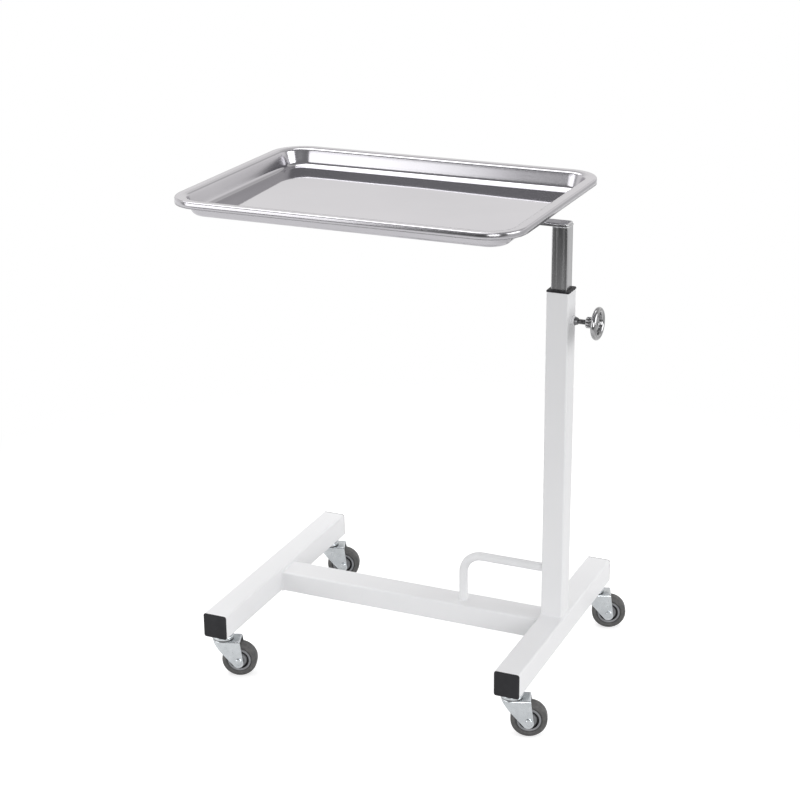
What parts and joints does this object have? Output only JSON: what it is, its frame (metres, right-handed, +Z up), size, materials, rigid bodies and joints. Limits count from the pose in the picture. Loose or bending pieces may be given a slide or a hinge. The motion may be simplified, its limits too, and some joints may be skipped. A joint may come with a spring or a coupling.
{
  "type": "mayo instrument stand",
  "caption": "Mobile instrument stand: shallow rectangular tray on an offset, height-adjustable square mast, knob clamp, H-shaped base on swivel casters.",
  "frame": {"origin": "on the floor, at the middle of the overall footprint", "axes": "+X along the tray towards the mast and its knob, +Y to the rear, +Z up"},
  "size_m": [0.617, 0.443, 0.775],
  "materials": {
    "white_paint": "glossy white powder coat",
    "black_plastic": "fine-grained black moulding",
    "zinc_plate": "bright zinc plate",
    "polished_tube": "satin stainless steel",
    "tray_steel": "satin stainless steel, polished rim",
    "black_rubber": "matte rubber",
    "chrome_hub": "bright",
    "knob_plate": "bright plated metal",
    "grey_plastic": "light grey moulding",
    "grey_tyre": "dark grey rubber"
  },
  "bodies": {
    "base": {"left_leg": "white_paint", "right_leg": "white_paint", "cross_beam": "white_paint", "post": "white_paint", "foot_loop": "white_paint", "front_left_cap": "black_plastic", "front_right_cap": "black_plastic", "rear_left_cap": "black_plastic", "rear_right_cap": "black_plastic", "post_bush": "black_plastic", "clamp_boss": "white_paint", "caster_weld_nuts": "zinc_plate", "front_left_stem": "zinc_plate", "front_right_stem": "zinc_plate", "rear_left_stem": "zinc_plate", "rear_right_stem": "zinc_plate"},
    "mast": {"inner_tube": "polished_tube", "lower_guide": "black_plastic", "mast_arm": "polished_tube", "inner_front_bar": "polished_tube", "inner_rear_bar": "polished_tube", "outer_front_bar": "polished_tube", "outer_rear_bar": "polished_tube", "tray_pads": "black_rubber"},
    "tray": {"tray": "tray_steel"},
    "clamp_pad": {"clamp_pad": "zinc_plate"},
    "knob": {"clamp_screw": "zinc_plate", "knob_hub": "chrome_hub", "knob_disc": "knob_plate"},
    "front_left_fork": {"front_left_fork": "zinc_plate", "front_left_ball_ring": "zinc_plate", "front_left_axle_bolt": "zinc_plate", "front_left_axle_nut": "zinc_plate", "front_left_axle_sleeve": "zinc_plate"},
    "front_left_wheel": {"front_left_wheel_rim": "grey_plastic", "front_left_tyre": "grey_tyre"},
    "front_right_fork": {"front_right_fork": "zinc_plate", "front_right_ball_ring": "zinc_plate", "front_right_axle_bolt": "zinc_plate", "front_right_axle_nut": "zinc_plate", "front_right_axle_sleeve": "zinc_plate"},
    "front_right_wheel": {"front_right_wheel_rim": "grey_plastic", "front_right_tyre": "grey_tyre"},
    "rear_left_fork": {"rear_left_fork": "zinc_plate", "rear_left_ball_ring": "zinc_plate", "rear_left_axle_bolt": "zinc_plate", "rear_left_axle_nut": "zinc_plate", "rear_left_axle_sleeve": "zinc_plate"},
    "rear_left_wheel": {"rear_left_wheel_rim": "grey_plastic", "rear_left_tyre": "grey_tyre"},
    "rear_right_fork": {"rear_right_fork": "zinc_plate", "rear_right_ball_ring": "zinc_plate", "rear_right_axle_bolt": "zinc_plate", "rear_right_axle_nut": "zinc_plate", "rear_right_axle_sleeve": "zinc_plate"},
    "rear_right_wheel": {"rear_right_wheel_rim": "grey_plastic", "rear_right_tyre": "grey_tyre"}
  },
  "joints": [
    {"name": "mast_slide", "type": "slide", "parent": "base", "child": "mast", "axis": [0, 0, 1], "range_m": [-0.095, 0.31]},
    {"name": "tray_lift", "type": "slide", "parent": "mast", "child": "tray", "axis": [0, 0, 1], "range_m": [0, 0.12]},
    {"name": "pad_travel", "type": "slide", "parent": "base", "child": "clamp_pad", "axis": [1, 0, 0], "range_m": [0, 0.00125]},
    {"name": "knob_turn", "type": "hinge", "parent": "clamp_pad", "child": "knob", "pos_m": [0.2465, -0.00303, 0.5965], "axis": [1, 0, 0], "range_deg": [0, 360]},
    {"name": "front_left_swivel", "type": "hinge", "parent": "base", "child": "front_left_fork", "pos_m": [-0.243, -0.19653, 0.063], "axis": [0, 0, 1], "continuous": true},
    {"name": "front_left_spin", "type": "hinge", "parent": "front_left_fork", "child": "front_left_wheel", "pos_m": [-0.21857, -0.18764, 0.028], "axis": [-0.342, 0.9397, 0], "continuous": true},
    {"name": "front_right_swivel", "type": "hinge", "parent": "base", "child": "front_right_fork", "pos_m": [0.248, -0.19653, 0.063], "axis": [0, 0, 1], "continuous": true},
    {"name": "front_right_spin", "type": "hinge", "parent": "front_right_fork", "child": "front_right_wheel", "pos_m": [0.27243, -0.18764, 0.028], "axis": [-0.342, 0.9397, 0], "continuous": true},
    {"name": "rear_left_swivel", "type": "hinge", "parent": "base", "child": "rear_left_fork", "pos_m": [-0.243, 0.19047, 0.063], "axis": [0, 0, 1], "continuous": true},
    {"name": "rear_left_spin", "type": "hinge", "parent": "rear_left_fork", "child": "rear_left_wheel", "pos_m": [-0.21857, 0.19936, 0.028], "axis": [-0.342, 0.9397, 0], "continuous": true},
    {"name": "rear_right_swivel", "type": "hinge", "parent": "base", "child": "rear_right_fork", "pos_m": [0.248, 0.19047, 0.063], "axis": [0, 0, 1], "continuous": true},
    {"name": "rear_right_spin", "type": "hinge", "parent": "rear_right_fork", "child": "rear_right_wheel", "pos_m": [0.27243, 0.19936, 0.028], "axis": [-0.342, 0.9397, 0], "continuous": true}
  ],
  "couplings": [
    {"joint": "pad_travel", "follows": "knob_turn", "m_per_rad": 0.00019894}
  ]
}
